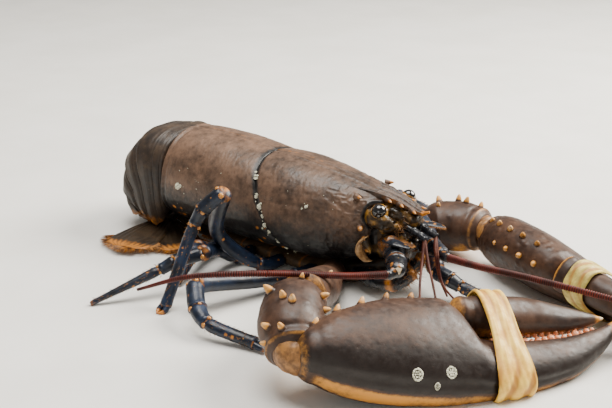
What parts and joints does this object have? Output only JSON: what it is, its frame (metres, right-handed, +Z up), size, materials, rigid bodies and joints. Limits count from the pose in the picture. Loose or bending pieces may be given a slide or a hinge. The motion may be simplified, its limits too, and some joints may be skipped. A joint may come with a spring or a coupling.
{
  "type": "american lobster",
  "caption": "Still clawed lobster lying on its belly, tail curled under, with walking legs, feelers, spined claws and a rubber band round each claw.",
  "frame": {"origin": "centre of the bounding box's bottom, on the floor", "axes": "+X towards the head, +Y towards the animal's left side, +Z up"},
  "size_m": [0.3462, 0.2104, 0.055],
  "materials": {
    "carapace": "satin shell, dark brown-grey",
    "tail": "satin shell, dark brown-grey",
    "claw": "satin shell, dark brown",
    "leg": "satin shell, blue-black with orange joints",
    "whip": "ringed, red-brown",
    "eye": "glossy black",
    "stalk": "amber",
    "fan": "satin shell, dark brown",
    "belly": "matt, tan",
    "mouth": "matt, brown",
    "band": "matt rubber, cream-yellow"
  },
  "bodies": {
    "root": {"carapace_head": "carapace", "carapace_thorax": "carapace", "underside": "belly", "eye_right": "eye", "eyestalk_right": "stalk", "eye_left": "eye", "eyestalk_left": "stalk", "tail_ring_1": "tail", "tail_ring_2": "tail", "tail_ring_3": "tail", "tail_ring_4": "tail", "tail_ring_5": "tail", "tail_ring_6": "tail", "telson": "fan", "fan_inner_right": "fan", "fan_outer_right": "fan", "fan_inner_left": "fan", "fan_outer_left": "fan", "palm_right": "claw", "finger_right": "claw", "band_right": "band", "wrist_right": "claw", "arm_right": "claw", "palm_left": "claw", "finger_left": "claw", "band_left": "band", "wrist_left": "claw", "arm_left": "claw", "thigh_right_1": "leg", "shank_right_1": "leg", "thigh_left_1": "leg", "shank_left_1": "leg", "thigh_right_2": "leg", "shank_right_2": "leg", "thigh_left_2": "leg", "shank_left_2": "leg", "thigh_right_3": "leg", "shank_right_3": "leg", "thigh_left_3": "leg", "shank_left_3": "leg", "thigh_right_4": "leg", "shank_right_4": "leg", "thigh_left_4": "leg", "shank_left_4": "leg", "feeler_base_right": "leg", "feeler_right_1": "whip", "feeler_right_2": "whip", "feeleret_right": "whip", "feeler_base_left": "leg", "feeler_left_1": "whip", "feeler_left_2": "whip", "feeleret_left": "whip", "jaw_leg_right": "mouth", "jaw_leg_left": "mouth"}
  },
  "joints": []
}
